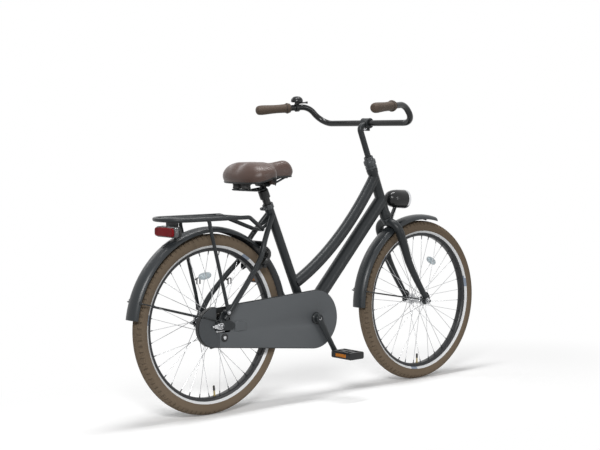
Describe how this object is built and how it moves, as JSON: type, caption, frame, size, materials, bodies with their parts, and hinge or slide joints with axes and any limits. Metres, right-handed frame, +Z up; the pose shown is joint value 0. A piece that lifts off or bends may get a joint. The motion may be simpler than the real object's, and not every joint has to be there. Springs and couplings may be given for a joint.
{
  "type": "bicycle",
  "caption": "Step-through town bicycle with enclosed chain, mudguards, rear carrier, ring lock, lamps and swept-back handlebar on wide brown tyres.",
  "frame": {"origin": "on the ground, under the middle of the whole bicycle's box", "axes": "+X forward, +Y to the rider's left, +Z up; the drive side is -Y"},
  "size_m": [1.6502, 0.6434, 1.0857],
  "materials": {
    "black_plastic": "matt",
    "steel": "zinc plated",
    "dark_plastic": "matt",
    "black_paint": "satin",
    "black_rim": "black anodised",
    "clear_lens": "clear",
    "brown_tyre": "moulded tread",
    "grip_brown": "leather look",
    "amber": "clear amber",
    "red_lens": "clear red",
    "brown_leather": "smooth"
  },
  "bodies": {
    "frame_and_fittings": {"bottom_bracket": "steel", "brake_arm": "steel", "chain": "steel", "chain_tensioner_left": "steel", "chain_tensioner_right": "steel", "chaincase": "dark_plastic", "chaincase_tail": "dark_plastic", "frame": "black_paint", "headset_lower_cup": "black_paint", "headset_upper_cup": "black_paint", "rear_axle": "steel", "rear_carrier": "black_paint", "rear_lamp_housing": "clear_lens", "rear_lamp_lens": "red_lens", "rear_mudguard": "black_paint", "rear_mudguard_stay": "black_paint", "ring_lock_housing": "black_plastic", "seat_collar": "steel"},
    "steering": {"fork": "black_paint", "front_axle": "steel", "front_mudguard": "black_paint", "front_mudguard_stay": "black_paint", "headlamp_lens": "clear_lens", "headlamp_shell": "black_plastic", "headset_locknut": "black_plastic"},
    "handlebars": {"bell": "black_plastic", "grip_left": "grip_brown", "grip_right": "grip_brown", "handlebar": "black_paint", "stem": "black_paint"},
    "front_wheel": {"front_hub_and_spokes": "steel", "front_rim": "black_rim", "front_spoke_reflector": "clear_lens", "front_tyre": "brown_tyre"},
    "rear_wheel": {"rear_hub_and_spokes": "steel", "rear_rim": "black_rim", "rear_spoke_reflector": "clear_lens", "rear_tyre": "brown_tyre"},
    "sprocket": {"sprocket": "steel"},
    "crankset": {"chainring": "steel", "crank_arm_left": "black_paint", "crank_arm_right": "black_paint", "crank_axle": "steel", "pedal_spindle_left": "steel", "pedal_spindle_right": "steel"},
    "saddle_and_post": {"saddle_base": "black_plastic", "saddle_clamp": "steel", "saddle_cover": "brown_leather", "saddle_rails": "steel", "seatpost": "black_paint"},
    "pedal_right": {"pedal_reflector_front_right": "amber", "pedal_reflector_rear_right": "amber", "pedal_right": "black_plastic"},
    "pedal_left": {"pedal_left": "black_plastic", "pedal_reflector_front_left": "amber", "pedal_reflector_rear_left": "amber"},
    "bell_lever": {"bell_lever": "black_plastic"},
    "lock_bolt": {"ring_lock_bolt": "steel"},
    "kickstand": {"kickstand": "black_paint"}
  },
  "joints": [
    {"name": "steering_turn", "type": "hinge", "parent": "frame_and_fittings", "child": "steering", "pos_m": [0.48396, 0, 0.29116], "axis": [-0.3827, 0, 0.9239], "range_deg": [-75, 75]},
    {"name": "handlebar_height", "type": "slide", "parent": "steering", "child": "handlebars", "axis": [-0.3827, 0, 0.9239], "range_m": [-0.03, 0.04]},
    {"name": "bell_lever_turn", "type": "hinge", "parent": "handlebars", "child": "bell_lever", "pos_m": [0.14175, 0.26163, 1.05996], "axis": [0, 0, 1], "range_deg": [0, 25], "stiffness_Nm_per_rad": 0.05, "springref_deg": -11.46},
    {"name": "front_wheel_spin", "type": "hinge", "parent": "steering", "child": "front_wheel", "pos_m": [0.51814, 0, 0.30532], "axis": [0, 1, 0], "continuous": true},
    {"name": "rear_wheel_spin", "type": "hinge", "parent": "frame_and_fittings", "child": "rear_wheel", "pos_m": [-0.49846, 0, 0.30532], "axis": [0, 1, 0], "continuous": true},
    {"name": "crank_spin", "type": "hinge", "parent": "frame_and_fittings", "child": "crankset", "pos_m": [-0.06396, 0, 0.2925], "axis": [0, 1, 0], "continuous": true, "deforming": ["chain"]},
    {"name": "sprocket_spin", "type": "hinge", "parent": "frame_and_fittings", "child": "sprocket", "pos_m": [-0.49846, 0, 0.30532], "axis": [0, 1, 0], "continuous": true},
    {"name": "pedal_spin_right", "type": "hinge", "parent": "crankset", "child": "pedal_right", "pos_m": [0.01569, 0, 0.16304], "axis": [0, 1, 0], "continuous": true},
    {"name": "pedal_spin_left", "type": "hinge", "parent": "crankset", "child": "pedal_left", "pos_m": [-0.14361, 0, 0.42196], "axis": [0, 1, 0], "continuous": true},
    {"name": "kickstand_turn", "type": "hinge", "parent": "frame_and_fittings", "child": "kickstand", "pos_m": [-0.15396, 0.02, 0.2585], "axis": [-0.1152, -0.9437, -0.3102], "range_deg": [0, 82], "stiffness_Nm_per_rad": 1, "springref_deg": -28.65},
    {"name": "lock_bolt_turn", "type": "hinge", "parent": "frame_and_fittings", "child": "lock_bolt", "pos_m": [-0.2934, 0, 0.51038], "axis": [-0.7071, 0, 0.7071], "range_deg": [0, 88], "stiffness_Nm_per_rad": 0.08, "springref_deg": -28.65},
    {"name": "saddle_height", "type": "slide", "parent": "frame_and_fittings", "child": "saddle_and_post", "axis": [-0.3979, 0, 0.9174], "range_m": [-0.02, 0.06]}
  ],
  "couplings": [
    {"joint": "sprocket_spin", "follows": "crank_spin", "ratio": 2.2222}
  ]
}
